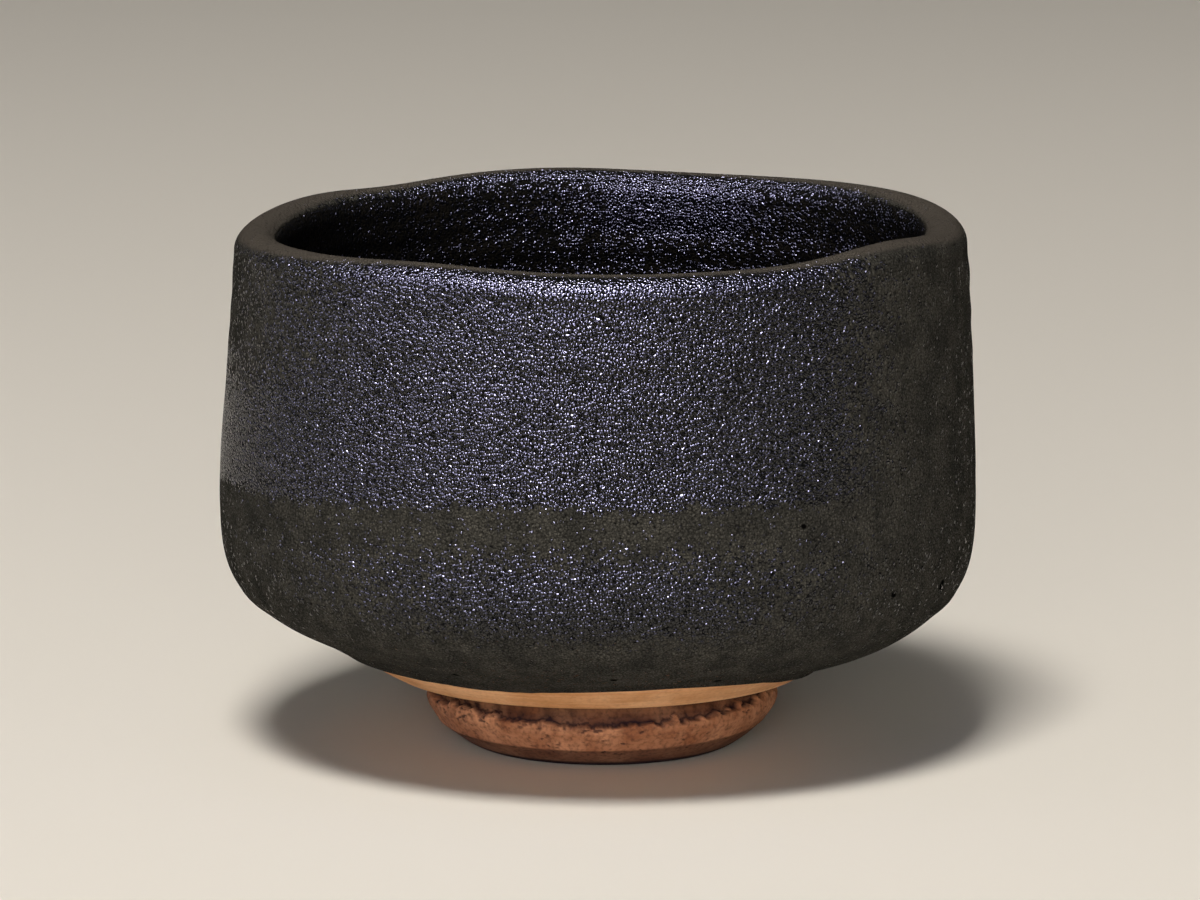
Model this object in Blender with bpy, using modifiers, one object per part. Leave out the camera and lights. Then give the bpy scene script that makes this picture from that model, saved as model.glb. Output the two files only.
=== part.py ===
"""Hand-formed tea bowl: a fired clay body, its foot ring, and the two coats of glaze.

Metres, +Z up. The foot ring stands on Z = 0, the bowl's axis is the Z axis, and the
front of the bowl looks along -Y. Every piece is a turned shape that is then pressed
out of round by the same hand_formed rule, so that neighbours keep their clearance.
"""
import math

import bpy
import numpy as np

MM = 0.001

# Driving dimensions, as (radius, height) in millimetres unless a comment says otherwise.
LIP_CENTRE = (54.1, 79.6)
LIP_RADIUS = 3.65
INNER_SIDE = [(0.0, 16.8), (13.0, 16.9), (17.5, 17.9), (28.0, 20.2), (38.0, 24.2),
              (46.0, 30.2), (50.8, 38.5), (52.3, 49.0), (52.0, 62.0), (50.9, 74.0)]
OUTER_SIDE = [(58.2, 73.0), (59.0, 60.0), (59.9, 43.0), (59.4, 31.5), (57.1, 25.6),
              (54.4, 23.1), (49.3, 20.0), (39.2, 15.6)]
TRIMMED_EDGE = (33.2, 11.8)
UNDERSIDE_HEIGHT = 11.5
BOSS_RADIUS = 15.2
BOSS_HEIGHT = 7.2
CENTRE_DIMPLE = 6.6

COAT_THICKNESS = 1.0
CLEARANCE = 0.3
COAT_SEAM_ANGLE = 35.0          # degrees below the lip's inner side where the coats meet

NECK_RADIUS = 26.6
NECK_CREASE_HEIGHT = 8.5
SHOULDER = (28.0, 7.4)
SIDE_BAND_FOOT = (26.0, 3.4)
CONTACT_OUTER_RADIUS = 21.6
CONTACT_INNER_RADIUS = 16.6
FOOT_EDGE = 0.5                 # rounding at both edges of the contact ring
FOOT_HOLLOW_RADIUS = 15.7

# How the hand left it: (azimuth in degrees from +X, rise in mm, spread in degrees).
LIP_SWELLS = [(-36.0, 1.6, 11.0), (-119.0, 0.9, 12.0), (100.0, 0.9, 14.0), (28.0, 1.1, 24.0),
              (150.0, 0.3, 12.0), (180.0, -0.6, 18.0), (130.0, -0.5, 8.0)]
LIP_LEAN = 0.45                 # mm that the mouth leans to +X
FOOT_SHIFT = 0.8                # mm that the foot was cut off centre, to +X
HIP_SAG = 0.5                   # mm that the hip hangs lower at +X and rides higher at -X
# Clay left on under the hip by the trimming tool, round +X and round -X:
# (azimuth in degrees, depth in mm, spread in degrees, radius in mm, half width in mm).
SIDE_FILLS = [(-8.0, 1.1, 36.0, 47.0, 8.0), (180.0, 1.25, 36.0, 39.5, 4.8)]
OVAL_PRESS = 0.25               # mm of two-sided and three-sided finger press on the wall
PRESS_TURNS = (0.6, 0.9)        # radians that the two presses are turned round the axis

# The heights in mm between which each of these moves fades in or out.
FOOT_SPAN = (7.0, 15.0)
SAG_SPAN = (12.0, 17.0)
FILL_SPAN = (21.0, 27.0)
HIP_SPAN = (24.0, 40.0)
LEAN_SPAN = (40.0, 75.0)
LIP_SPAN = (50.0, 80.0)
# And the radii in mm.
SAG_RADII = (15.0, 38.0)
PRESS_RADII = (20.0, 50.0)

TURN_STEPS = 40
SPAN_POINTS = 2                 # profile points from one control point to the next
LIP_POINTS = 7
MERGE_DISTANCE = 0.00001


def clear_scene():
    """Remove every object, so that the script can run in any open file."""
    for old in list(bpy.data.objects):
        bpy.data.objects.remove(old, do_unlink=True)


def make_material(name, colour, roughness):
    """A plain surface for one piece."""
    material = bpy.data.materials.new(name)
    material.use_nodes = True
    shader = material.node_tree.nodes["Principled BSDF"]
    shader.inputs["Base Color"].default_value = (*colour, 1.0)
    shader.inputs["Roughness"].default_value = roughness
    shader.inputs["Metallic"].default_value = 0.0
    return material


def smooth_step(value, low, high):
    """0 below low, 1 above high, and an S-curve between them."""
    t = np.clip((value - low) / (high - low), 0.0, 1.0)
    return t * t * (3.0 - 2.0 * t)


def spline(points):
    """A Catmull-Rom curve through the control points, with SPAN_POINTS steps to each span."""
    knots = np.array(points)
    knots = np.vstack([2.0 * knots[0] - knots[1], knots, 2.0 * knots[-1] - knots[-2]])
    t = np.arange(SPAN_POINTS)[:, None] / SPAN_POINTS
    spans = []
    for p0, p1, p2, p3 in zip(knots, knots[1:], knots[2:], knots[3:]):
        spans.append(0.5 * (2.0 * p1 + (p2 - p0) * t + (2.0 * p0 - 5.0 * p1 + 4.0 * p2 - p3) * t ** 2
                            + (3.0 * p1 - p0 - 3.0 * p2 + p3) * t ** 3))
    return np.vstack(spans + [knots[-2:-1]])


def lip_arc():
    """The rounded lip, from its inner side over the crest to its outer side."""
    turn = np.linspace(math.pi, 0.0, LIP_POINTS)
    return np.column_stack([LIP_CENTRE[0] + LIP_RADIUS * np.cos(turn),
                            LIP_CENTRE[1] + LIP_RADIUS * np.sin(turn)])


def glazed_skin():
    """The whole glazed line: centre of the floor, up the inside, over the lip, down to the glaze edge."""
    lip = lip_arc()
    inside = spline(INNER_SIDE + [tuple(lip[0])])
    outside = spline([tuple(lip[-1])] + OUTER_SIDE)
    return inside, lip, outside


def sunk(path, depth):
    """The line moved into the clay by depth, square to itself."""
    along = np.gradient(path, axis=0)
    along /= np.linalg.norm(along, axis=1)[:, None]
    moved = path + depth * np.column_stack([along[:, 1], -along[:, 0]])
    moved[:, 0] = np.maximum(moved[:, 0], 0.0)
    return moved


def bell(azimuth, centre, spread):
    """1 at the centre azimuth and falling away smoothly on both sides; centre and spread in degrees."""
    away = azimuth - math.radians(centre)
    away = np.degrees(np.arctan2(np.sin(away), np.cos(away)))
    return np.exp(-0.5 * (away / spread) ** 2)


def hand_formed(points):
    """Press turned points out of round: a wavy lip, a leaning mouth, an off-centre foot, a hanging hip.

    Every move is a smooth function of azimuth, radius and height, so it carries neighbours along together.
    """
    x, y, z = points.T / MM
    azimuth = np.arctan2(y, x)
    radius = np.hypot(x, y)

    press = OVAL_PRESS * (np.cos(2.0 * azimuth - PRESS_TURNS[0]) + np.cos(3.0 * azimuth + PRESS_TURNS[1]))
    pressed = radius + press * smooth_step(radius, *PRESS_RADII)
    lean = LIP_LEAN * smooth_step(z, *LEAN_SPAN) + FOOT_SHIFT * (1.0 - smooth_step(z, *FOOT_SPAN))
    x = pressed * np.cos(azimuth) + lean
    y = pressed * np.sin(azimuth)

    rise = sum(height * bell(azimuth, centre, spread) for centre, height, spread in LIP_SWELLS)
    hang = smooth_step(z, *SAG_SPAN) * (1.0 - smooth_step(z, *HIP_SPAN)) * smooth_step(radius, *SAG_RADII)
    fill = sum(depth * bell(azimuth, centre, spread) * np.exp(-((radius - middle) / half_width) ** 2)
               for centre, depth, spread, middle, half_width in SIDE_FILLS)
    fill = fill * (1.0 - smooth_step(z, *FILL_SPAN))
    z = z + rise * smooth_step(z, *LIP_SPAN) - HIP_SAG * np.cos(azimuth) * hang - fill
    return np.column_stack([x, y, z]) * MM


def turned_piece(name, profile, closed, material, collection):
    """Turn a profile about Z with a Screw modifier, press it into shape by hand, and name it."""
    count = len(profile)
    edges = [(i, i + 1) for i in range(count - 1)]
    if closed:
        edges.append((count - 1, 0))
    outline = bpy.data.meshes.new(name + "_profile")
    outline.from_pydata([(r * MM, 0.0, h * MM) for r, h in profile], edges, [])
    blank = bpy.data.objects.new(name + "_blank", outline)
    collection.objects.link(blank)

    screw = blank.modifiers.new("turn", "SCREW")
    screw.axis = "Z"
    screw.steps = TURN_STEPS
    screw.render_steps = TURN_STEPS
    screw.use_merge_vertices = True
    screw.merge_threshold = MERGE_DISTANCE

    depsgraph = bpy.context.evaluated_depsgraph_get()
    mesh = bpy.data.meshes.new_from_object(blank.evaluated_get(depsgraph))
    bpy.data.objects.remove(blank, do_unlink=True)
    bpy.data.meshes.remove(outline)

    points = np.empty(len(mesh.vertices) * 3)
    mesh.vertices.foreach_get("co", points)
    mesh.vertices.foreach_set("co", hand_formed(points.reshape(-1, 3)).ravel())
    mesh.name = name
    mesh.materials.clear()
    mesh.materials.append(material)
    mesh.shade_smooth()
    mesh.set_sharp_from_angle(angle=math.radians(40.0))
    mesh.update()

    piece = bpy.data.objects.new(name, mesh)
    collection.objects.link(piece)
    return piece


def split_at_seam(inside, lip):
    """Where the inner coat ends and the outer coat begins, on the inner side of the lip."""
    seam_angle = math.radians(180.0 - COAT_SEAM_ANGLE)
    seam = (LIP_CENTRE[0] + LIP_RADIUS * math.cos(seam_angle),
            LIP_CENTRE[1] + LIP_RADIUS * math.sin(seam_angle))
    turn = np.arctan2(lip[:, 1] - LIP_CENTRE[1], lip[:, 0] - LIP_CENTRE[0])
    below = lip[turn > seam_angle]
    above = lip[turn < seam_angle]
    return np.vstack([inside[:-1], below, [seam]]), np.vstack([[seam], above])


def clay_body(collection):
    """Fired clay wall and floor, with the bare trimmed band under the glaze edge."""
    inside, lip, outside = glazed_skin()
    skin = sunk(np.vstack([inside[:-1], lip, outside[1:]]), COAT_THICKNESS + CLEARANCE)
    underside = [TRIMMED_EDGE,
                 (TRIMMED_EDGE[0] - 1.0, UNDERSIDE_HEIGHT),
                 (BOSS_RADIUS, UNDERSIDE_HEIGHT),
                 (BOSS_RADIUS - 0.2, BOSS_HEIGHT + 1.0),
                 (BOSS_RADIUS - 1.2, BOSS_HEIGHT),
                 (BOSS_RADIUS * 0.5, BOSS_HEIGHT),
                 (0.0, CENTRE_DIMPLE)]
    clay = make_material("bare_clay", (0.55, 0.33, 0.20), 0.85)
    return turned_piece("clay_body", np.vstack([skin, underside]), False, clay, collection)


def foot_ring(collection):
    """The foot: a neck cut in under the body, a torn shoulder, a side band and a wide chamfer."""
    profile = [(NECK_RADIUS + 0.6, UNDERSIDE_HEIGHT - CLEARANCE),
               (NECK_RADIUS, UNDERSIDE_HEIGHT - 1.2),
               (NECK_RADIUS, NECK_CREASE_HEIGHT),
               SHOULDER,
               (SHOULDER[0] - 0.4, SHOULDER[1] - 1.6),
               SIDE_BAND_FOOT,
               (CONTACT_OUTER_RADIUS + FOOT_EDGE, FOOT_EDGE * 0.6),
               (CONTACT_OUTER_RADIUS - FOOT_EDGE, 0.0),
               (CONTACT_INNER_RADIUS + FOOT_EDGE, 0.0),
               (CONTACT_INNER_RADIUS - FOOT_EDGE, FOOT_EDGE),
               (FOOT_HOLLOW_RADIUS, BOSS_HEIGHT - 2.0),
               (FOOT_HOLLOW_RADIUS, UNDERSIDE_HEIGHT - CLEARANCE)]
    clay = make_material("foot_clay", (0.22, 0.10, 0.055), 0.9)
    return turned_piece("foot_ring", profile, True, clay, collection)


def inner_glaze(collection):
    """The coat inside the bowl, from the tea pool up to the inner side of the lip."""
    inside, lip, _ = glazed_skin()
    surface, _ = split_at_seam(inside, lip)
    backing = sunk(surface, COAT_THICKNESS)[::-1]
    backing[-1, 0] = 0.0
    glaze = make_material("inner_black_glaze", (0.012, 0.011, 0.010), 0.3)
    return turned_piece("inner_glaze", np.vstack([surface, backing]), False, glaze, collection)


def outer_glaze(collection):
    """The coat over the lip and down the outside, to its edge above the trimmed band."""
    inside, lip, outside = glazed_skin()
    _, over_lip = split_at_seam(inside, lip)
    surface = np.vstack([over_lip[:-1], outside])
    backing = sunk(surface, COAT_THICKNESS)[::-1]
    along = surface[1] - surface[0]
    seam_gap = CLEARANCE / np.linalg.norm(along) * along
    surface[0] += seam_gap
    backing[-1] += seam_gap
    glaze = make_material("outer_black_glaze", (0.018, 0.016, 0.015), 0.4)
    return turned_piece("outer_glaze", np.vstack([surface, backing]), True, glaze, collection)


clear_scene()
tea_bowl = bpy.data.collections.new("matcha_bowl")
bpy.context.scene.collection.children.link(tea_bowl)
for build_piece in (clay_body, foot_ring, inner_glaze, outer_glaze):
    build_piece(tea_bowl)
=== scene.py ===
"""A hand-formed black tea bowl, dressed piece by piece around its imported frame.

Sizes are in millimetres, turned to metres when a mesh is made. The bowl stands on Z = 0,
its axis is Z, and its front looks along -Y. Azimuths are in degrees from +X, seen from above.
"""
import math

import bpy
import numpy as np
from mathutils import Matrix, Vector


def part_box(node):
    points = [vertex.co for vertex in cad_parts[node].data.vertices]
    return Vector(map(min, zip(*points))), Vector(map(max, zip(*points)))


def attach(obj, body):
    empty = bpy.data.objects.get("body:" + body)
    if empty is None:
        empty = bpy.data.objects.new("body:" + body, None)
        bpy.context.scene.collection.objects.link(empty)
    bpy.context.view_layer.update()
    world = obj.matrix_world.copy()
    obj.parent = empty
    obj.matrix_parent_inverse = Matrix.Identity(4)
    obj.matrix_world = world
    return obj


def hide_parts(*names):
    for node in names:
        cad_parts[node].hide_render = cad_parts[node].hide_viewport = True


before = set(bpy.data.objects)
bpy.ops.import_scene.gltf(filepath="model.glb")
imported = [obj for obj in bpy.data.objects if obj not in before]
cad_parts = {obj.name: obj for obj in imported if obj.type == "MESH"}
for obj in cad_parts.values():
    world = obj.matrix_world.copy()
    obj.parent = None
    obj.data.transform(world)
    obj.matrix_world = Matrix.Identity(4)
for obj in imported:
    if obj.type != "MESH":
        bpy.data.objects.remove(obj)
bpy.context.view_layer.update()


# ---------------------------------------------------------------------------------------
# Foot ring. The potter cuts it from the iron-rich clay of the base: a neck cut in under the
# bowl, a shoulder whose edge tore as the tool left it, a side band and a wide chamfer.
# ---------------------------------------------------------------------------------------
MM = 0.001
foot_box = [np.array(corner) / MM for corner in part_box("foot_ring")]
FOOT_TOP = foot_box[1][2]
FOOT_RADIUS = 28.0
FOOT_NECK = 26.6
SHOULDER_HEIGHT = 7.3
BAND_FOOT = (26.1, 3.4)               # radius and height where the side band meets the chamfer
CONTACT_RING = (17.1, 21.2)           # inner and outer radius of the flat that it stands on
FOOT_BORE = 15.7

# How the hand left the bowl: swells of the lip (azimuth, rise and spread), and clay left on under
# the hip (azimuth, depth and spread, then the radius where it is thickest and its half width).
LIP_SWELLS = [(-36.0, 1.6, 11.0), (-119.0, 0.9, 12.0), (100.0, 0.9, 14.0), (28.0, 1.1, 24.0),
              (150.0, 0.3, 12.0), (180.0, -0.6, 18.0), (130.0, -0.5, 8.0)]
SIDE_FILLS = [(-8.0, 1.1, 36.0, 47.0, 8.0), (180.0, 1.25, 36.0, 39.5, 4.8)]
LIP_LEAN = 0.45                       # the mouth leans to +X
FOOT_SHIFT = 0.8                      # the foot is cut a little off the bowl's axis, to +X
HIP_SAG = 0.5                         # the hip hangs lower at +X and rides higher at -X
OVAL_PRESS = 0.25                     # two-sided and three-sided finger press on the wall
PRESS_TURNS = (0.6, 0.9)              # radians that the two presses are turned round the axis

# The heights between which each of these fades in or out, and two pairs of radii.
FOOT_SPAN = (7.0, 15.0)
SAG_SPAN = (12.0, 17.0)
FILL_SPAN = (21.0, 27.0)
HIP_SPAN = (24.0, 40.0)
LEAN_SPAN = (40.0, 75.0)
LIP_SPAN = (50.0, 80.0)
SAG_RADII = (15.0, 38.0)
PRESS_RADII = (20.0, 50.0)

TORN_EDGE = 8.2                       # height of the shoulder's torn edge at the sides
EDGE_DIP = 0.7                        # and how much lower it is at the front
EDGE_FLOOR = 6.9
CRUMB = 0.7                           # sizes of what tore out: crumbs, flakes and dragged sand
FLAKE = 2.4
SAND = 1.5
PIT_DEPTH = 0.3
CHIP_DEPTH = 0.25
TUFTS = [(-65.0, 1.9, 1.2), (-60.5, 0.6, 0.9), (-55.0, 0.9, 1.6), (-48.0, 0.5, 1.2),
         (-43.0, 0.9, 1.8), (-37.5, 1.6, 1.0), (-33.0, 0.8, 1.3), (-27.0, 1.2, 1.9),
         (-20.0, 1.6, 2.2), (-12.0, 1.2, 2.0), (20.0, 0.8, 1.2), (64.0, 1.0, 1.4),
         (118.0, 0.7, 1.0), (150.0, 0.9, 1.2)]   # azimuth, height and width of torn burrs


def smooth_step(value, low, high):
    """0 below low, 1 above high, and 3t^2 - 2t^3 between them."""
    t = np.clip((value - low) / (high - low), 0.0, 1.0)
    return t * t * (3.0 - 2.0 * t)


def turned_away(azimuth, centre):
    """Degrees from an azimuth in radians to a centre in degrees, wrapped to -180..180."""
    away = azimuth - math.radians(centre)
    return np.degrees(np.arctan2(np.sin(away), np.cos(away)))


def near(azimuth, centre, spread):
    """A bell in azimuth: exp(-(degrees away / spread)^2 / 2)."""
    return np.exp(-0.5 * (turned_away(azimuth, centre) / spread) ** 2)


def lattice_noise(azimuth, along, cells, seed):
    """Random heights -1..1 on a lattice with that many cells to the turn, eased between points.

    along is counted in cells too, so the grain is square where one cell's width is known.
    """
    heights = np.random.default_rng(seed).uniform(-1.0, 1.0, (cells, 512))
    u = (azimuth / (2.0 * math.pi)) % 1.0 * cells
    i, j = np.floor(u).astype(int), np.floor(along).astype(int)
    s, t = u - i, along - j
    s, t = s * s * (3.0 - 2.0 * s), t * t * (3.0 - 2.0 * t)
    i0, i1, j0, j1 = i % cells, (i + 1) % cells, j % 512, (j + 1) % 512
    upper = heights[i0, j0] * (1.0 - s) + heights[i1, j0] * s
    lower = heights[i0, j1] * (1.0 - s) + heights[i1, j1] * s
    return upper * (1.0 - t) + lower * t


def grain(azimuth, along, radius, size, seed, octaves=3):
    """Fractal lattice noise with cells of that size in mm at that radius, each octave half as big."""
    total, share = 0.0, 0.0
    for octave in range(octaves):
        cells = max(3, round(2.0 * math.pi * radius / size * 2 ** octave))
        step = 2.0 * math.pi * radius / cells
        weight = 0.5 ** octave
        total = total + weight * lattice_noise(azimuth, along / step, cells, seed + 17 * octave)
        share += weight
    return total / share


def soft_line(points, softness, closed=False, step=0.05):
    """A polyline resampled every step mm, its corners rounded by a Gaussian of that softness in mm."""
    corners = np.array(points + [points[0]] if closed else points, dtype=float)
    length = np.concatenate([[0.0], np.cumsum(np.linalg.norm(np.diff(corners, axis=0), axis=1))])
    s = np.linspace(0.0, length[-1], max(8, int(length[-1] / step)))
    line = np.column_stack([np.interp(s, length, corners[:, k]) for k in (0, 1)])
    half = max(1, int(3.0 * softness / step))
    bell = np.exp(-0.5 * (np.arange(-half, half + 1) * step / softness) ** 2)
    if closed:
        padded = np.vstack([line[-half - 1:-1], line, line[1:half + 1]])
    else:
        padded = np.vstack([2.0 * line[0] - line[half:0:-1], line, 2.0 * line[-1] - line[-2:-half - 2:-1]])
    return np.column_stack([np.convolve(padded[:, k], bell / bell.sum(), "valid") for k in (0, 1)])


def measured(line):
    """Distance along a dense line, and its outward normal (the tangent turned to the left going down)."""
    s = np.concatenate([[0.0], np.cumsum(np.linalg.norm(np.diff(line, axis=0), axis=1))])
    along = np.gradient(line, axis=0)
    along /= np.linalg.norm(along, axis=1)[:, None]
    return s, np.column_stack([-along[:, 1], along[:, 0]])


def rows_along(s, density):
    """Row places along a line, closer together where density, a function of s in rows per mm, is larger:
    equal steps of the running total of the density."""
    fine = np.linspace(s[0], s[-1], 4000)
    between = 0.5 * (density(fine[1:]) + density(fine[:-1])) * np.diff(fine)
    count = np.concatenate([[0.0], np.cumsum(between)])
    return np.interp(np.linspace(0.0, count[-1], int(count[-1])), count, fine)


def hand_formed(radius, azimuth, height):
    """Turned points pressed out of round: oval and three-sided press, leaning mouth, off-centre foot,
    hanging hip, clay left on under it at both sides, and a lip that swells and dips, each fading smoothly
    with height. Returns metres."""
    press = OVAL_PRESS * (np.cos(2.0 * azimuth - PRESS_TURNS[0]) + np.cos(3.0 * azimuth + PRESS_TURNS[1]))
    pressed = radius + press * smooth_step(radius, *PRESS_RADII)
    x = pressed * np.cos(azimuth) + LIP_LEAN * smooth_step(height, *LEAN_SPAN)
    x = x + FOOT_SHIFT * (1.0 - smooth_step(height, *FOOT_SPAN))
    y = pressed * np.sin(azimuth)
    rise = sum(swell * near(azimuth, centre, spread) for centre, swell, spread in LIP_SWELLS)
    hang = smooth_step(height, *SAG_SPAN) * (1.0 - smooth_step(height, *HIP_SPAN))
    hang = hang * smooth_step(radius, *SAG_RADII)
    left_on = sum(thick * near(azimuth, centre, spread) * np.exp(-((radius - middle) / half_width) ** 2)
                  for centre, thick, spread, middle, half_width in SIDE_FILLS)
    left_on = left_on * (1.0 - smooth_step(height, *FILL_SPAN))
    z = height + rise * smooth_step(height, *LIP_SPAN) - HIP_SAG * np.cos(azimuth) * hang - left_on
    return np.stack([x, y, z], axis=-1) * MM


def ring_mesh(name, rings, closed=False, poles=False, **masks):
    """A skin over rows of ring points: quads from each row to the next, and on from the last to the
    first where closed, or a fan onto the axis at both ends for poles. Masks become point attributes."""
    rows, turns = rings.shape[:2]
    index = np.arange(rows * turns).reshape(rows, turns)
    upper = index if closed else index[:-1]
    lower = np.roll(index, -1, axis=0) if closed else index[1:]
    quads = np.stack([upper, lower, np.roll(lower, -1, axis=1), np.roll(upper, -1, axis=1)], axis=-1)
    faces = quads.reshape(-1, 4).tolist()
    points = rings.reshape(-1, 3)
    if poles:
        top, bottom = len(points), len(points) + 1
        first, last = index[0], index[-1]
        faces += np.column_stack([np.full(turns, top), first, np.roll(first, -1)]).tolist()
        faces += np.column_stack([last, np.full(turns, bottom), np.roll(last, -1)]).tolist()
        points = np.vstack([points, rings[0].mean(axis=0), rings[-1].mean(axis=0)])
    mesh = bpy.data.meshes.new(name)
    mesh.from_pydata(points.tolist(), [], faces)
    for mask, values in masks.items():
        flat = np.zeros(len(points))
        flat[:rows * turns] = np.broadcast_to(values, (rows, turns)).ravel()
        mesh.attributes.new(mask, "FLOAT", "POINT").data.foreach_set("value", flat)
    mesh.shade_smooth()
    mesh.update()
    piece = bpy.data.objects.new(name, mesh)
    bpy.context.scene.collection.objects.link(piece)
    return piece


def linear(code):
    """An sRGB hex colour as linear red, green, blue and full alpha."""
    parts = np.array([int(code[i:i + 2], 16) for i in (1, 3, 5)]) / 255.0
    parts = np.where(parts <= 0.04045, parts / 12.92, ((parts + 0.055) / 1.055) ** 2.4)
    return (*parts.tolist(), 1.0)


def add_node(tree, kind, inputs=None, **settings):
    """Add one node: settings are its own properties, inputs are values or sockets to link from."""
    made = tree.nodes.new(kind)
    for name, value in settings.items():
        setattr(made, name, value)
    for socket, value in (inputs or {}).items():
        if isinstance(value, bpy.types.NodeSocket):
            tree.links.new(value, made.inputs[socket])
        else:
            made.inputs[socket].default_value = value
    return made


def bare_clay(name, light, dark, iron_and_shade_colour, roughness, tool_lines, speckle):
    """Fired unglazed clay: two body colours mixed by soft clouds and tool lines, iron-dark specks, torn pits
    and painted shade, both darkened from a point attribute, and a fine sandy bump. tool_lines is their share
    of the mixing, speckle the specks'."""
    material = bpy.data.materials.new(name)
    material.use_nodes = True
    tree = material.node_tree
    shader = tree.nodes["Principled BSDF"]
    place = add_node(tree, "ShaderNodeTexCoord").outputs["Object"]
    # Clouds of 6 mm, where the iron in the clay came up more or less strongly in the fire.
    clouds = add_node(tree, "ShaderNodeTexNoise", {"Vector": place, "Scale": 1.0 / (6.0 * MM),
                                                   "Detail": 4.0})
    # Tool lines: stretched flat round the axis, 0.5 mm apart up the wall.
    flat = add_node(tree, "ShaderNodeMapping", {"Vector": place, "Scale": (60.0, 60.0, 1.0 / (0.5 * MM))})
    lines = add_node(tree, "ShaderNodeTexNoise", {"Vector": flat.outputs[0], "Scale": 1.0, "Detail": 2.0})
    # Sand of 0.25 mm, the tooth of the clay.
    sand = add_node(tree, "ShaderNodeTexNoise", {"Vector": place, "Scale": 1.0 / (0.25 * MM), "Detail": 3.0})
    blend = add_node(tree, "ShaderNodeMath", {0: clouds.outputs[0], 1: 1.0 - tool_lines},
                     operation="MULTIPLY")
    blend = add_node(tree, "ShaderNodeMath", {0: lines.outputs[0], 1: tool_lines, 2: blend.outputs[0]},
                     operation="MULTIPLY_ADD")
    spread = add_node(tree, "ShaderNodeMapRange", {0: blend.outputs[0], 1: 0.38, 2: 0.62})
    body = add_node(tree, "ShaderNodeMix", {0: spread.outputs[0], 6: linear(dark), 7: linear(light)},
                    data_type="RGBA")
    # Specks of iron of 0.7 mm.
    specks = add_node(tree, "ShaderNodeTexNoise", {"Vector": place, "Scale": 1.0 / (0.7 * MM),
                                                   "Detail": 3.0})
    dots = add_node(tree, "ShaderNodeMapRange", {0: specks.outputs[0], 1: 0.45, 2: 0.8, 4: speckle})
    # The point attribute darkens torn pits and chips as painted shade inside them, and paints shade in the
    # foot's neck, crease, chamfer and contact edge.
    torn = add_node(tree, "ShaderNodeAttribute", attribute_name="torn")
    dark_share = add_node(tree, "ShaderNodeMix", {0: torn.outputs["Fac"], 2: dots.outputs[0], 3: 1.0})
    skin_colour = add_node(tree, "ShaderNodeMix", {0: dark_share.outputs[0], 6: body.outputs[2],
                                                   7: linear(iron_and_shade_colour)}, data_type="RGBA")
    tree.links.new(skin_colour.outputs[2], shader.inputs["Base Color"])
    tooth = add_node(tree, "ShaderNodeBump", {"Height": sand.outputs[0], "Strength": 0.5,
                                              "Distance": 0.06 * MM})
    scored = add_node(tree, "ShaderNodeBump", {"Height": lines.outputs[0], "Normal": tooth.outputs[0],
                                               "Strength": 0.6, "Distance": 0.08 * MM})
    tree.links.new(scored.outputs[0], shader.inputs["Normal"])
    shader.inputs["Roughness"].default_value = roughness
    shader.inputs["IOR"].default_value = 1.5
    shader.inputs["Specular IOR Level"].default_value = 0.25
    return material


TURNS = 720                           # 0.25 mm apart round the foot
ROUNDING = 0.12                       # of every corner of the foot
NECK_END = 5.5                        # mm of the line that the neck and the torn edge take
contact_inner, contact_outer = CONTACT_RING
foot_line = soft_line([(FOOT_NECK + 0.5, FOOT_TOP), (FOOT_NECK, FOOT_TOP - 0.8), (FOOT_NECK - 0.1, 9.2),
                       (FOOT_NECK + 0.2, 8.9), (FOOT_RADIUS, SHOULDER_HEIGHT), (FOOT_RADIUS - 0.2, 6.2),
                       BAND_FOOT, (contact_outer + 1.0, 0.5), (contact_outer, 0.0), (contact_inner, 0.0),
                       (contact_inner - 1.0, 0.5), (FOOT_BORE, 5.2), (FOOT_BORE, FOOT_TOP)],
                      ROUNDING, closed=True)
foot_s, _ = measured(foot_line)
outer_end = foot_s[np.argmin(np.abs(foot_line[:, 0] - contact_outer) + foot_line[:, 1])]
foot_rows = rows_along(foot_s, lambda s: np.where(s < NECK_END, 6.0, np.where(s < outer_end, 4.5, 1.6)))[:-1]
azimuth, s = np.meshgrid(np.linspace(-math.pi, math.pi, TURNS, endpoint=False), foot_rows)
radius = np.interp(s, foot_s, foot_line[:, 0])
height = np.interp(s, foot_s, foot_line[:, 1])
chamfer_s = foot_s[np.argmin(np.hypot(*(foot_line - BAND_FOOT).T))]

# The torn edge: above it the neck, below it the side band, which stands 1.4 mm out. Its height
# wanders with the crumbs of the clay, most at the left of the front, and rises in tufts at the right.
outside = s < outer_end
left_tear = near(azimuth, -128.0, 30.0) + 0.5 * near(azimuth, 90.0, 40.0)
crumbs = grain(azimuth, s, FOOT_RADIUS, CRUMB, seed=3, octaves=2)
flakes = grain(azimuth, s * 0.5, FOOT_RADIUS, FLAKE, seed=5, octaves=3)
fringe = sum(rise * near(azimuth, centre, math.degrees(width / FOOT_RADIUS) * 0.32)
             for centre, rise, width in TUFTS)
edge_height = TORN_EDGE - EDGE_DIP * near(azimuth, -90.0, 35.0) + 0.75 * fringe * (1.0 + 0.8 * crumbs)
edge_height = edge_height + 0.5 * flakes + 0.35 * crumbs
edge_height = edge_height + left_tear * (0.45 * flakes + 0.6 * crumbs)
edge_height = np.clip(edge_height, EDGE_FLOOR, FOOT_TOP - 1.5)
ledge = smooth_step(edge_height - height, -0.14, 0.14)
torn_zone = outside * smooth_step(height, EDGE_FLOOR - 0.3, EDGE_FLOOR + 0.2)
neck_radius = FOOT_NECK + 0.08 * np.sin(7.0 * height)
side_radius = FOOT_RADIUS - 0.12 * (height - SHOULDER_HEIGHT) + 0.16 * crumbs * (0.6 + left_tear)
radius = radius + torn_zone * (neck_radius + (side_radius - neck_radius) * ledge - radius)

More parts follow.
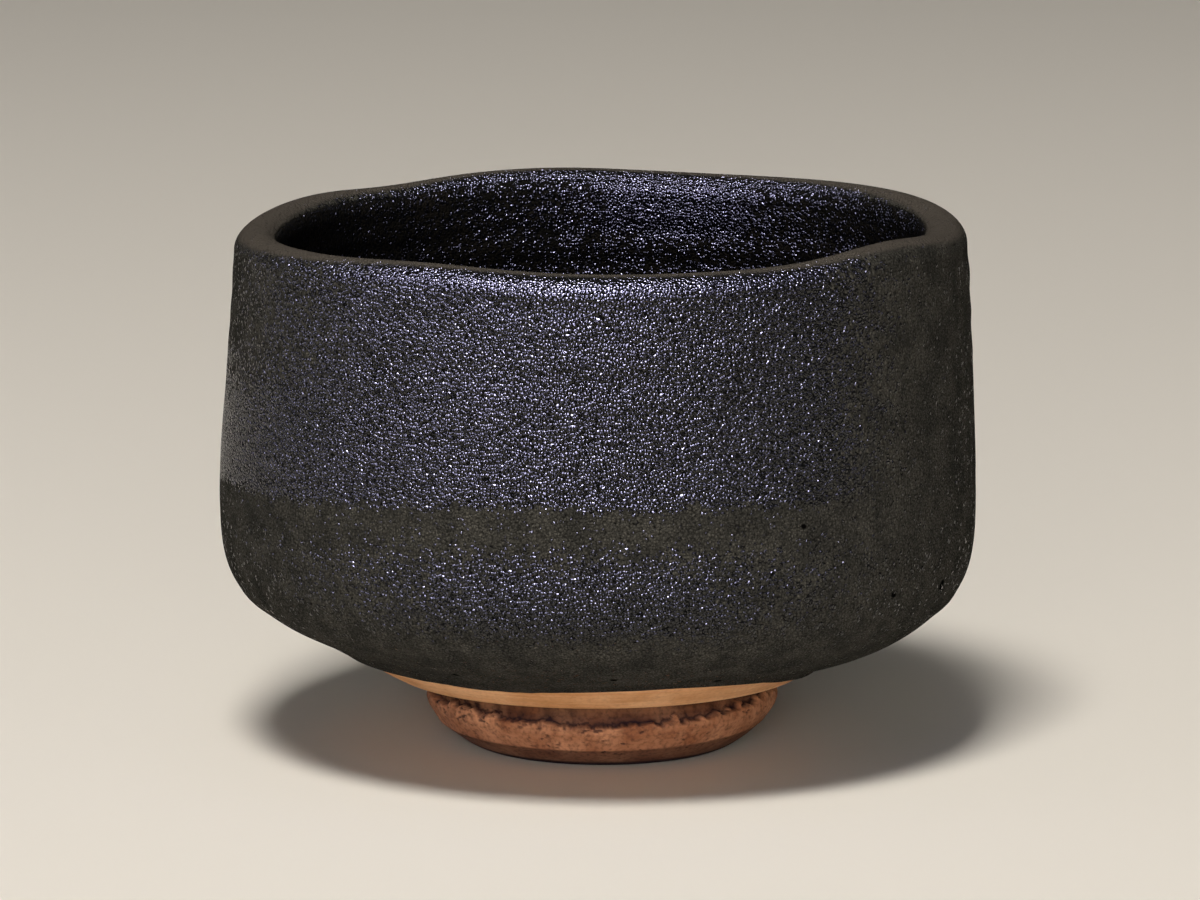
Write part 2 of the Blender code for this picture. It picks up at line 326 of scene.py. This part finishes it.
# Pits where sand dragged out of the side band, and chips along the torn edge at the left.
band = outside * (1.0 - smooth_step(s, chamfer_s + 0.5, chamfer_s + 2.0)) * ledge
under_edge = np.exp(-((edge_height - height - 0.7) / 0.7) ** 2) * near(azimuth, -116.0, 22.0)
dragged = grain(azimuth, s * 2.2, FOOT_RADIUS, SAND, seed=11, octaves=3)
holes = smooth_step(dragged + 0.28 * under_edge - 0.12 * near(azimuth, -30.0, 40.0), 0.4, 0.52) * band
chips = smooth_step(crumbs, 0.25, 0.5) * band * smooth_step(height, 5.6, 7.2) * (0.2 + left_tear)
wander = grain(azimuth, s * 0.3, FOOT_RADIUS, 14.0, seed=21, octaves=2)
radius = radius - PIT_DEPTH * holes - CHIP_DEPTH * chips + 0.18 * wander * smooth_step(height, 0.3, 2.0)
height = height + 0.35 * near(azimuth, -30.0, 28.0) * np.exp(-((s - chamfer_s) / 1.6) ** 2)
radius = radius + 0.02 * np.sin(9.0 * s) * outside
height = np.maximum(height, 0.0)

# Painted shade: the foot's colour is darkened in the neck, in the crease over the torn edge and down the
# chamfer that faces the floor, with a painted contact shadow along the edge that the foot stands on.
NECK_SHADE = 0.72
CHAMFER_SHADE = 0.62
CONTACT_SHADOW = 0.8
above = (1.0 - ledge) * outside
crease = np.exp(-((height - edge_height - 0.25) / 0.3) ** 2)
painted_shade = above * (NECK_SHADE + 0.28 * crease + 0.25 * flakes)
painted_shade = painted_shade + CHAMFER_SHADE * smooth_step(s, chamfer_s, chamfer_s + 0.5)
painted_shade = painted_shade + CONTACT_SHADOW * outside * (1.0 - smooth_step(height, 0.25, 1.0))
# The foot's pits and chips are darkened as painted shade inside them, on top of the painted shade above.
foot = ring_mesh("foot_ring_cut_clay", hand_formed(radius, azimuth, height), closed=True,
                 torn=np.clip(0.8 * holes + 0.5 * chips + painted_shade, 0.0, 1.0))
foot.data.materials.append(bare_clay("foot_clay_iron_rich_tool_cut", "#C48C66", "#96603E", "#220E07",
                                     roughness=0.85, tool_lines=0.12, speckle=0.7))
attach(foot, "root")
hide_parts("foot_ring")


# ---------------------------------------------------------------------------------------
# Clay body. Light orange fired clay, thrown thick and trimmed: all under glaze, save a band
# above the foot that was shaved at a steeper slope and left bare, and the ceiling of the foot.
# ---------------------------------------------------------------------------------------
LIP_CENTRE = (54.1, 79.6)
LIP_RADIUS = 3.65
GLAZE_EDGE = (39.2, 15.6)             # radius and height where the glaze stops at the front
BAND_EDGE = (33.45, 11.4)             # the bare band's sharp lower edge
EDGE_THICKNESS = 0.45                 # of the glaze at its lower edge
COAT = 1.3                            # depth of the clay under the glaze on the wall
THINNING = (12.0, 2.0)                # from how far above the glaze edge, and to where, the coat thins
RECESS_TOP = 11.5
BOSS = (15.2, 7.2)                    # radius and height of the floor that shows inside the foot
LIP_POINTS = 60
BAND_POINTS = 40
ON_AXIS = 0.02                        # the smallest radius, next to the pole


def spline(points, per_span=24):
    """A Catmull-Rom curve through the control points, with that many steps to each span."""
    knots = np.array(points)
    knots = np.vstack([2.0 * knots[0] - knots[1], knots, 2.0 * knots[-1] - knots[-2]])
    t = np.arange(per_span)[:, None] / per_span
    spans = []
    for p0, p1, p2, p3 in zip(knots, knots[1:], knots[2:], knots[3:]):
        spans.append(0.5 * (2.0 * p1 + (p2 - p0) * t + (2.0 * p0 - 5.0 * p1 + 4.0 * p2 - p3) * t ** 2
                            + (3.0 * p1 - p0 - 3.0 * p2 + p3) * t ** 3))
    return np.vstack(spans + [knots[-2:-1]])


def lip_arc(start, end):
    """The lip's round crest between two angles in degrees, 180 being its inner side and 0 its outer."""
    turn = np.radians(np.linspace(start, end, LIP_POINTS))
    return np.column_stack([LIP_CENTRE[0] + LIP_RADIUS * np.cos(turn),
                            LIP_CENTRE[1] + LIP_RADIUS * np.sin(turn)])


def coat_depth(s, edge_s):
    """Thickness of the coat: COAT on the wall, easing to EDGE_THICKNESS over the THINNING stretch."""
    thinned = smooth_step(s, edge_s - THINNING[0], edge_s - THINNING[1])
    return EDGE_THICKNESS + (COAT - EDGE_THICKNESS) * (1.0 - thinned)


inner_side = spline([(0.0, 16.8), (13.0, 16.9), (17.5, 17.9), (28.0, 20.2), (38.0, 24.2), (46.0, 30.2),
                     (50.8, 38.5), (52.3, 49.0), (52.0, 62.0), (50.9, 74.0), (50.45, 79.6)])
outer_side = spline([(57.75, 79.6), (58.2, 73.0), (59.0, 60.0), (59.9, 43.0), (59.4, 31.5), (57.1, 25.6),
                     (54.4, 23.1), (49.3, 20.0), GLAZE_EDGE])
band_side = np.linspace(GLAZE_EDGE, BAND_EDGE, BAND_POINTS)
skin = np.vstack([inner_side[:-1], lip_arc(180.0, 0.0), outer_side[1:], band_side[1:]])
skin_s, skin_normal = measured(skin)
edge_s = skin_s[len(inner_side) - 1 + LIP_POINTS + len(outer_side) - 2]
clay_skin = skin - skin_normal * coat_depth(skin_s, edge_s)[:, None]
clay_skin[:, 0] = np.maximum(clay_skin[:, 0], ON_AXIS)
underside = soft_line([tuple(clay_skin[-1]), (BAND_EDGE[0] - 1.3, RECESS_TOP), (BOSS[0], RECESS_TOP),
                       (BOSS[0] - 0.2, BOSS[1] + 0.9), (BOSS[0] - 1.1, BOSS[1]), (9.0, BOSS[1] - 0.1),
                       (6.5, BOSS[1] - 0.35), (3.0, BOSS[1] - 0.5), (ON_AXIS, BOSS[1] - 0.9)], 0.1)
clay_line = np.vstack([clay_skin, underside[1:]])
clay_s, _ = measured(clay_line)
band_start = clay_s[len(clay_skin) - BAND_POINTS]
band_end = clay_s[len(clay_skin) - 1]
clay_rows = rows_along(clay_s, lambda s: np.where(s < band_start - 3.0, 0.35,
                                                  np.where(s < band_end + 1.0, 5.0, 1.5)))
azimuth, s = np.meshgrid(np.linspace(-math.pi, math.pi, TURNS, endpoint=False), clay_rows)
radius = np.interp(s, clay_s, clay_line[:, 0])
height = np.interp(s, clay_s, clay_line[:, 1])
BAND_RADIUS = 36.0
on_band = smooth_step(s, band_start - 1.0, band_start + 0.5)
on_band = on_band * (1.0 - smooth_step(s, band_end - 0.2, band_end + 0.6))
shaved = 0.03 * np.sin(5.5 * s + 0.8 * np.sin(2.0 * azimuth))
shaved = shaved + 0.05 * grain(azimuth, s * 4.0, BAND_RADIUS, 9.0, seed=31)
wavy = 0.18 * grain(azimuth, s * 0.1, BAND_RADIUS, 26.0, seed=33, octaves=2)
radius = radius + on_band * (shaved + wavy)
spiral = 0.08 * np.cos(2.2 * radius - azimuth) * smooth_step(s, band_end + 18.0, band_end + 24.0)
height = height + spiral * smooth_step(radius, 0.5, 3.0)
clay = ring_mesh("clay_body_thrown_and_trimmed", hand_formed(radius, azimuth, height), poles=True,
                 torn=0.0)
clay.data.materials.append(bare_clay("bare_clay_shaved_orange", "#E0AE80", "#C8915F", "#6E4426",
                                     roughness=0.8, tool_lines=0.4, speckle=0.25))
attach(clay, "root")
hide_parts("clay_body")


# ---------------------------------------------------------------------------------------
# Outer glaze. A thick black glaze, laid on with a brush from the lip to the bare band. It
# fired to a pebbled skin that glints where it ran thick and went dry and matt where it is thin.
# ---------------------------------------------------------------------------------------
GLAZE_TURNS = 640                     # 0.6 mm apart round the wall
SEAM_ANGLE = 145.0                    # where the outer and inner coats meet on the lip
PEBBLE = 0.5                          # mm from one pebble of the skin to the next
STRAY = 0.7                           # mm that the pebbles' grid wanders, from end to end
WALL_RADIUS = 59.0                    # where the grain of the wall is measured
RAGGED = 3.0                          # size of the tongues along the edges of the melted parts
DRY_LINE = 43.0                       # height where the thick upper coat stops, at the sides
DRY_LINE_RISE = 5.7                   # and how much higher it stops at the front
POOLS = [(-94.0, 24.0, 1.0), (58.0, 24.0, 0.8), (148.0, 16.0, 0.6)]    # azimuth, spread and strength
POOL_FOOT = (25.5, 30.0)              # heights between which a pool begins
POOL_HEAD = (36.0, 44.0)              # and ends
RUN_OVER = 5.8                        # mm of bare band that the glaze covers where it ran furthest
RUN_START = 14.0                      # mm above the glaze edge where the run begins to stretch the coat
EDGE_RADIUS = 39.0                    # where the grain of the run is measured
PINHOLES = [(-39.5, 31.0, 1.2), (-25.0, 30.0, 1.8), (-58.0, 44.0, 1.0), (-66.0, 18.6, 1.4),
            (-118.0, 18.6, 1.2), (-87.0, 19.8, 1.2), (35.0, 40.0, 1.2), (130.0, 33.0, 1.3),
            (86.0, 56.0, 1.0), (171.0, 30.0, 1.2)]                     # azimuth, height and width
LIP_WEAR = 0.95                       # how much of the gloss is worn off the lip
CLAY_GAP = 0.05                       # between the back of a coat and the clay
BACK_ROWS = 18


def worn_crest(azimuth, lip_angle):
    """1 where the lip is matt and brown, by its angle (0 outside, 90 on top, 180 inside): from 25 to 150
    degrees at the left and right, and only a line on the very top at the front and the back."""
    wide = np.maximum(near(azimuth, 180.0, 34.0), near(azimuth, -2.0, 34.0))
    outer_end = 66.0 - 36.0 * wide
    inner_end = 112.0 + 36.0 * wide
    outside = smooth_step(lip_angle, outer_end, outer_end + 18.0)
    return outside * (1.0 - smooth_step(lip_angle, inner_end - 16.0, inner_end))


def glaze_masks(azimuth, height, lip_angle):
    """melt: 1 where the coat is thick and glossy, 0 where it is thin and matt. crest: 1 on the lip.

    The upper coat stops at a line that rises to the front, and fades out on a dry flank at the right and
    a dry top at the left; pools low on the wall are bells in azimuth and height."""
    ragged = grain(azimuth, height, WALL_RADIUS, RAGGED, seed=41, octaves=3)
    line = DRY_LINE + DRY_LINE_RISE * near(azimuth, -90.0, 45.0) + 1.5 * near(azimuth, 70.0, 50.0)
    upper = smooth_step(height + 1.3 * ragged, line - 0.9, line + 0.9)
    flank = smooth_step(np.abs(turned_away(azimuth, -8.0)) + 5.0 * ragged, 26.0, 52.0)
    flank = flank * (1.0 - 0.5 * near(azimuth, 172.0, 9.0))
    pools = sum(strength * near(azimuth, centre, spread) for centre, spread, strength in POOLS)
    pools = pools * smooth_step(height, *POOL_FOOT) * (1.0 - smooth_step(height, *POOL_HEAD))
    melt = np.clip(upper * flank + pools * (1.0 + 0.3 * ragged), 0.0, 1.0)
    left_top = near(azimuth, 178.0, 30.0) * smooth_step(height, 52.0, 70.0)
    melt = melt * (1.0 - left_top)
    crest = worn_crest(azimuth, lip_angle)
    return melt * (1.0 - LIP_WEAR * crest), crest


def black_glaze(name, glossy, matt, lip_colour, roughness, pebble, pebble_height, pinholes=()):
    """Iron-black glaze: domed pebbles (their height falls with the square of the distance to the cell
    centre) on a wandering grid. Each is wet or dry by chance, and the share of wet ones is the melt; wet
    ones wear a clear coat and dry ones dust, fading to black at their rims as painted shade. The lip is
    brown and worn, and pinholes are painted black as the shade inside them."""
    material = bpy.data.materials.new(name)
    material.use_nodes = True
    tree = material.node_tree
    shader = tree.nodes["Principled BSDF"]
    place = add_node(tree, "ShaderNodeTexCoord").outputs["Object"]
    melt = add_node(tree, "ShaderNodeAttribute", attribute_name="melt").outputs["Fac"]
    crest = add_node(tree, "ShaderNodeAttribute", attribute_name="crest").outputs["Fac"]

    # The grid wanders by 0.35 mm, so the pebbles crowd and stretch as blisters in a glaze do.
    stray = add_node(tree, "ShaderNodeTexNoise", {"Vector": place, "Scale": 1.0 / (1.1 * MM),
                                                  "Detail": 1.0})
    stray = add_node(tree, "ShaderNodeVectorMath", {0: stray.outputs["Color"], 1: (0.5, 0.5, 0.5)},
                     operation="SUBTRACT")
    moved = add_node(tree, "ShaderNodeVectorMath", {0: stray.outputs[0], 1: (STRAY * MM,) * 3, 2: place},
                     operation="MULTIPLY_ADD").outputs[0]
    cells = add_node(tree, "ShaderNodeTexVoronoi", {"Vector": moved, "Scale": 1.0 / (pebble * MM),
                                                   "Randomness": 0.85})
    edges = add_node(tree, "ShaderNodeTexVoronoi", {"Vector": moved, "Scale": 1.0 / (pebble * MM),
                                                    "Randomness": 0.85}, feature="DISTANCE_TO_EDGE")
    away = cells.outputs["Distance"]
    chance = add_node(tree, "ShaderNodeSeparateColor", {0: cells.outputs["Color"]})
    square = add_node(tree, "ShaderNodeMath", {0: away, 1: away}, operation="MULTIPLY")
    tall = add_node(tree, "ShaderNodeMapRange", {0: chance.outputs[1], 3: -0.7, 4: -1.3}).outputs[0]
    # Where the glaze flowed together the pebbles are flatter, and more of each one shines.
    calm = add_node(tree, "ShaderNodeAttribute", attribute_name="calm").outputs["Fac"]
    flowed = add_node(tree, "ShaderNodeMapRange", {0: calm, 3: 1.0, 4: 0.65}).outputs[0]
    tall = add_node(tree, "ShaderNodeMath", {0: tall, 1: flowed}, operation="MULTIPLY")
    dome = add_node(tree, "ShaderNodeMath", {0: square.outputs[0], 1: tall.outputs[0]}, operation="MULTIPLY")
    # Crazing of the dry skin: specks of 0.3 mm, the finest that shows.
    specks = add_node(tree, "ShaderNodeTexNoise", {"Vector": place, "Scale": 1.0 / (0.3 * MM),
                                                   "Detail": 2.0})
    # Slow ripples of 5 mm left by the brush.
    ripples = add_node(tree, "ShaderNodeTexNoise", {"Vector": place, "Scale": 1.0 / (5.0 * MM),
                                                    "Detail": 3.0})

    # A pebble is wet where the melt is more than 0.9 of its own chance; its coat ends short of its rim.
    odds = add_node(tree, "ShaderNodeMath", {0: chance.outputs[0], 1: -0.9, 2: melt},
                    operation="MULTIPLY_ADD")
    wet = add_node(tree, "ShaderNodeMapRange", {0: odds.outputs[0], 1: -0.12, 2: 0.02}).outputs[0]
    top = add_node(tree, "ShaderNodeMapRange", {0: edges.outputs["Distance"], 1: 0.03, 2: 0.13}).outputs[0]
    glass = add_node(tree, "ShaderNodeMath", {0: wet, 1: top}, operation="MULTIPLY").outputs[0]
    tree.links.new(glass, shader.inputs["Coat Weight"])
    pebbled = add_node(tree, "ShaderNodeBump", {"Height": dome.outputs[0], "Strength": 1.0,
                                                "Distance": pebble_height * MM})
    pitted = add_node(tree, "ShaderNodeBump", {"Height": specks.outputs[0], "Strength": 0.6,
                                               "Distance": 0.09 * MM, "Normal": pebbled.outputs[0]})
    tree.links.new(pitted.outputs[0], shader.inputs["Normal"])
    tree.links.new(pebbled.outputs[0], shader.inputs["Coat Normal"])

    # Pinholes where bubbles burst: painted black discs, the shade inside each hole, their rims ragged from
    # the wandering grid.
    pinhole_shade = 0.0
    for centre, size in pinholes:
        gap = add_node(tree, "ShaderNodeVectorMath", {0: moved, 1: centre}, operation="DISTANCE")
        hole = add_node(tree, "ShaderNodeMapRange", {0: gap.outputs["Value"], 1: 0.35 * size * MM,
                                                     2: 0.6 * size * MM, 3: 1.0, 4: 0.0})
        pinhole_shade = add_node(tree, "ShaderNodeMath", {0: hole.outputs[0], 1: pinhole_shade},
                          operation="MAXIMUM").outputs[0]

    clouds = add_node(tree, "ShaderNodeMapRange", {0: ripples.outputs[0], 1: 0.35, 2: 0.65})
    dusty = add_node(tree, "ShaderNodeMix", {0: clouds.outputs[0], 6: linear(matt[0]), 7: linear(matt[1])},
                     data_type="RGBA")
    # Painted shade between the pebbles: the dust fades to black towards each pebble's rim, standing in for
    # the shade in the valleys, and lies on their tops in specks.
    painted_valley_shade = add_node(tree, "ShaderNodeMapRange", {0: edges.outputs["Distance"], 2: 0.3, 3: 0.45, 4: 1.0})
    dust_and_valley_shade = add_node(tree, "ShaderNodeMapRange", {0: specks.outputs[0], 1: 0.35, 2: 0.6, 3: 0.2,
                                                 4: painted_valley_shade.outputs[0]})
    dust_with_painted_shade = add_node(tree, "ShaderNodeMix", {0: dust_and_valley_shade.outputs[0], 6: linear(glossy), 7: dusty.outputs[2]},
                     data_type="RGBA")
    skin_colour = add_node(tree, "ShaderNodeMix", {0: wet, 6: dust_with_painted_shade.outputs[2], 7: linear(glossy)},
                           data_type="RGBA")
    worn = add_node(tree, "ShaderNodeMix", {0: crest, 6: skin_colour.outputs[2], 7: linear(lip_colour)},
                    data_type="RGBA")
    burst = add_node(tree, "ShaderNodeMix", {0: pinhole_shade, 6: worn.outputs[2], 7: linear("#050505")},
                     data_type="RGBA")
    tree.links.new(burst.outputs[2], shader.inputs["Base Color"])
    shader.inputs["Roughness"].default_value = roughness[0]
    shader.inputs["IOR"].default_value = 1.5
    shader.inputs["Specular IOR Level"].default_value = 0.0
    shader.inputs["Coat Roughness"].default_value = roughness[1]
    shader.inputs["Coat IOR"].default_value = 1.5
    return material


def edge_run(azimuth):
    """How far down the bare band the glaze ran, in mm from its edge at the front: a long run at the
    right, short of the edge right of the front and past it at the left, scallops of two sizes all round,
    and a shorter run at the back."""
    run = RUN_OVER * smooth_step(60.0 - np.abs(turned_away(azimuth, 0.0)), 0.0, 45.0)
    run = run - 2.2 * near(azimuth, -68.0, 12.0) + 1.2 * near(azimuth, -114.0, 12.0)
    level = np.zeros(azimuth.shape)
    run = run + 0.45 * grain(azimuth, level, EDGE_RADIUS, 18.0, seed=51, octaves=2)
    run = run + 0.22 * grain(azimuth, level, EDGE_RADIUS, 3.5, seed=53, octaves=2)
    return run + 1.8 * near(azimuth, 75.0, 24.0)


surface = np.vstack([lip_arc(SEAM_ANGLE, 0.0), outer_side[1:], band_side[1:]])
surface_s, surface_normal = measured(surface)
edge_at = surface_s[-len(band_side)]
front_rows = rows_along(surface_s[surface_s <= edge_at],
                        lambda s: np.where(s < 12.0, 2.0, np.where(s > edge_at - 4.0, 4.0, 1.25)))
back_rows = np.linspace(edge_at, 0.0, BACK_ROWS)
around = np.linspace(-math.pi, math.pi, GLAZE_TURNS, endpoint=False)
azimuth, s0 = np.meshgrid(around, front_rows)
run = edge_run(azimuth)
s = s0 + run * smooth_step(s0, edge_at - RUN_START, edge_at)
to_edge = edge_at + run - s
radius = np.interp(s, surface_s, surface[:, 0])
height = np.interp(s, surface_s, surface[:, 1])
normal_r = np.interp(s, surface_s, surface_normal[:, 0])
normal_z = np.interp(s, surface_s, surface_normal[:, 1])
lip_angle = SEAM_ANGLE - np.degrees(s / LIP_RADIUS)

# The coat's lower edge is rolled to a quarter circle, with a bead over it; the wall is brushed, with a
# few level ridges under the lip.
EDGE_ROLL = 0.6
rolled = np.sqrt(np.clip(1.0 - (1.0 - np.clip(to_edge / EDGE_ROLL, 0.0, 1.0)) ** 2, 0.0, 1.0))
bead = 0.12 * np.exp(-((to_edge - 1.2) / 0.8) ** 2)
wall = smooth_step(s, 4.0, 12.0) * smooth_step(to_edge, 2.0, 10.0)
brushed = 0.16 * grain(azimuth, s * 2.2, WALL_RADIUS, 24.0, seed=61, octaves=3)
strokes = 0.10 * grain(azimuth, s * 1.6, WALL_RADIUS, 7.0, seed=63, octaves=2)
brushed = brushed + strokes * smooth_step(height, 45.0, 70.0)
ridges = 0.05 * np.sin(s * 1.1 + 4.0 * grain(azimuth, s * 0.3, WALL_RADIUS, 60.0, seed=65))
ridges = ridges * smooth_step(height, 55.0, 72.0)
lift = (rolled - 1.0) * (EDGE_THICKNESS - 0.03) + bead + wall * (brushed + ridges)
front = hand_formed(radius + normal_r * lift, azimuth, height + normal_z * lift)
melt, crest = glaze_masks(azimuth, height, lip_angle)
calm = near(azimuth, -94.0, 24.0) * smooth_step(height, 75.0, 79.0)

azimuth, s0 = np.meshgrid(around, back_rows[1:])
run = edge_run(azimuth)
s = s0 + run * smooth_step(s0, edge_at - RUN_START, edge_at)
sunk = coat_depth(s, edge_at) - CLAY_GAP
radius = np.interp(s, surface_s, surface[:, 0]) - np.interp(s, surface_s, surface_normal[:, 0]) * sunk
height = np.interp(s, surface_s, surface[:, 1]) - np.interp(s, surface_s, surface_normal[:, 1]) * sunk
backing = hand_formed(radius, azimuth, height)
hidden = np.zeros(azimuth.shape)
outer = ring_mesh("outer_glaze_black_pebbled", np.concatenate([front, backing]), closed=True,
                  melt=np.vstack([melt, hidden]), crest=np.vstack([crest, hidden]),
                  calm=np.vstack([calm, hidden]))
wall_order = np.argsort(outer_side[:, 1])
burst_at = []
for turn, level, width in PINHOLES:
    wall_radius = np.interp(level, outer_side[wall_order, 1], outer_side[wall_order, 0])
    burst_at.append((tuple(hand_formed(wall_radius, math.radians(turn), level).tolist()), width))
LIP_BROWN = "#4B4640"
SKIN_AND_COAT = (0.8, 0.15)           # roughness of the matt skin, and of the clear coat on wet pebbles
outer.data.materials.append(black_glaze("iron_black_glaze_brushed_and_fired", "#0C0C0C",
                                        ("#403F3B", "#54524C"), LIP_BROWN, SKIN_AND_COAT,
                                        PEBBLE, pebble_height=0.32, pinholes=burst_at))
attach(outer, "root")
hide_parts("outer_glaze")


# ---------------------------------------------------------------------------------------
# Inner glaze. The same black glaze poured round the inside, thinner and darker, over the
# turning rings of the wall and the shallow pool that the last of the tea gathers in.
# ---------------------------------------------------------------------------------------
INNER_TURNS = 560
INNER_RADIUS = 50.0                   # where the grain of the lining is measured
INNER_PEBBLE = 0.45
INNER_MELT = 0.36                     # the share of wet pebbles, away from the bright patch
lining = np.vstack([inner_side[:-1], lip_arc(180.0, SEAM_ANGLE)])
lining_s, lining_normal = measured(lining)
lining_rows = rows_along(lining_s, lambda s: np.where(s > lining_s[-1] - 10.0, 2.0,
                                                      np.where(s < 60.0, 1.0, 1.4)))
around = np.linspace(-math.pi, math.pi, INNER_TURNS, endpoint=False)
azimuth, s = np.meshgrid(around, lining_rows[1:])
radius = np.interp(s, lining_s, lining[:, 0])
height = np.interp(s, lining_s, lining[:, 1])
normal_r = np.interp(s, lining_s, lining_normal[:, 0])
normal_z = np.interp(s, lining_s, lining_normal[:, 1])
wall = smooth_step(radius, 2.0, 12.0) * smooth_step(lining_s[-1] - s, 3.0, 9.0)
rings = 0.13 * np.sin(1.1 * s + azimuth)
rings = rings + 0.15 * grain(azimuth, s * 2.0, INNER_RADIUS, 22.0, seed=71, octaves=3)
lift = wall * rings
front = hand_formed(radius + normal_r * lift, azimuth, height + normal_z * lift)
lip_start = lining_s[-1] - math.radians(180.0 - SEAM_ANGLE) * LIP_RADIUS
lip_angle = 180.0 - np.degrees(np.maximum(0.0, s - lip_start) / LIP_RADIUS)
ragged = grain(azimuth, s, INNER_RADIUS, 4.0, seed=73)
bright = near(azimuth, 76.0, 10.0) * smooth_step(height, 71.5, 75.0)
melt = np.clip(INNER_MELT + 0.15 * ragged + bright, 0.0, 1.0)
crest = worn_crest(azimuth, lip_angle)
melt = melt * (1.0 - LIP_WEAR * crest)

azimuth, s = np.meshgrid(around, np.linspace(lining_s[-1], 1.0, BACK_ROWS))
radius = np.interp(s, lining_s, lining[:, 0] - lining_normal[:, 0] * (COAT - CLAY_GAP))
height = np.interp(s, lining_s, lining[:, 1] - lining_normal[:, 1] * (COAT - CLAY_GAP))
backing = hand_formed(radius, azimuth, height)
hidden = np.zeros(azimuth.shape)
inner = ring_mesh("inner_glaze_black_poured", np.concatenate([front, backing]), poles=True,
                  melt=np.vstack([melt, hidden]), crest=np.vstack([crest, hidden]))
inner.data.materials.append(black_glaze("iron_black_glaze_poured_and_fired", "#060608",
                                        ("#1B1A17", "#24211D"), LIP_BROWN, SKIN_AND_COAT,
                                        INNER_PEBBLE, pebble_height=0.28))
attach(inner, "root")
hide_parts("inner_glaze")


# ---------------------------------------------------------------------------------------
# Studio: a plain pale floor, a soft overhead light a little to the front left, a low fill, four
# cool windows that only glint in the glaze, and a camera a good metre away, just above the lip.
# ---------------------------------------------------------------------------------------
floor_mesh = bpy.data.meshes.new("studio_floor")
REACH = 6.0                           # metres from the bowl to each side of the floor
floor_mesh.from_pydata([(-REACH, -REACH, 0.0), (REACH, -REACH, 0.0), (REACH, REACH, 0.0),
                        (-REACH, REACH, 0.0)], [], [(0, 1, 2, 3)])
floor = bpy.data.objects.new("studio_floor", floor_mesh)
bpy.context.scene.collection.objects.link(floor)
paper = bpy.data.materials.new("matt_pale_paper")
paper.use_nodes = True
paper_shader = paper.node_tree.nodes["Principled BSDF"]
paper_shader.inputs["Base Color"].default_value = linear("#E4DFD4")
paper_shader.inputs["Roughness"].default_value = 0.95
paper_shader.inputs["Specular IOR Level"].default_value = 0.1
floor_mesh.materials.append(paper)


BOWL_MIDDLE = np.array([0.0, 0.0, 0.045])
WINDOW_COLOUR = "#D6D2FF"


def aim(back):
    """The turn that points an object's -Z away from the direction back, with +Y kept upright."""
    return Vector(back.tolist()).to_track_quat("Z", "Y")


def soft_light(name, azimuth, elevation, distance, size, power, colour, diffuse=True, glossy=True):
    """A rectangular light at an azimuth (0 is the front, positive to the right) and an elevation in
    degrees, facing the bowl's middle from that many metres away; some only light, some only glint."""
    data = bpy.data.lights.new(name, "AREA")
    data.shape = "RECTANGLE"
    data.size, data.size_y = size
    data.energy = power
    data.color = linear(colour)[:3]
    lamp = bpy.data.objects.new(name, data)
    a, e = math.radians(azimuth), math.radians(elevation)
    back = np.array([math.sin(a) * math.cos(e), -math.cos(a) * math.cos(e), math.sin(e)])
    lamp.location = BOWL_MIDDLE + back * distance
    lamp.rotation_mode = "QUATERNION"
    lamp.rotation_quaternion = aim(back)
    lamp.visible_diffuse = diffuse
    lamp.visible_glossy = glossy
    lamp.visible_camera = False
    bpy.context.scene.collection.objects.link(lamp)


soft_light("overhead_softbox", -18.0, 66.0, 2.0, (0.5, 0.5), 35.5, "#FFFBF6")
soft_light("low_fill", -4.0, 8.0, 1.6, (1.2, 0.25), 14.0, "#FFF8F0", glossy=False)
soft_light("high_window", -3.0, 60.0, 1.6, (0.6, 0.6), 125.0, WINDOW_COLOUR, diffuse=False)
soft_light("front_window", -6.0, 26.0, 1.7, (0.8, 0.8), 52.0, WINDOW_COLOUR, diffuse=False)
soft_light("left_window", -78.0, 36.0, 1.6, (0.8, 0.8), 38.0, WINDOW_COLOUR, diffuse=False)
soft_light("right_window", 62.0, 42.0, 1.6, (0.6, 0.6), 8.0, WINDOW_COLOUR, diffuse=False)

world = bpy.data.worlds.new("pale_room")
world.use_nodes = True
world.node_tree.nodes["Background"].inputs["Color"].default_value = linear("#F4F1EC")
world.node_tree.nodes["Background"].inputs["Strength"].default_value = 0.07
bpy.context.scene.world = world
bpy.context.scene.view_settings.view_transform = "Standard"

CAMERA_AT = np.array([0.0, -1.080, 0.247])
CAMERA_AIM = np.array([0.0005, 0.0, 0.0465])
camera_data = bpy.data.cameras.new("camera")
camera_data.sensor_width = 36.0
camera_data.lens = 207.0
camera_data.clip_start = 0.01
camera = bpy.data.objects.new("camera", camera_data)
camera.location = CAMERA_AT
camera.rotation_mode = "QUATERNION"
camera.rotation_quaternion = aim(CAMERA_AT - CAMERA_AIM)
bpy.context.scene.collection.objects.link(camera)
bpy.context.scene.camera = camera
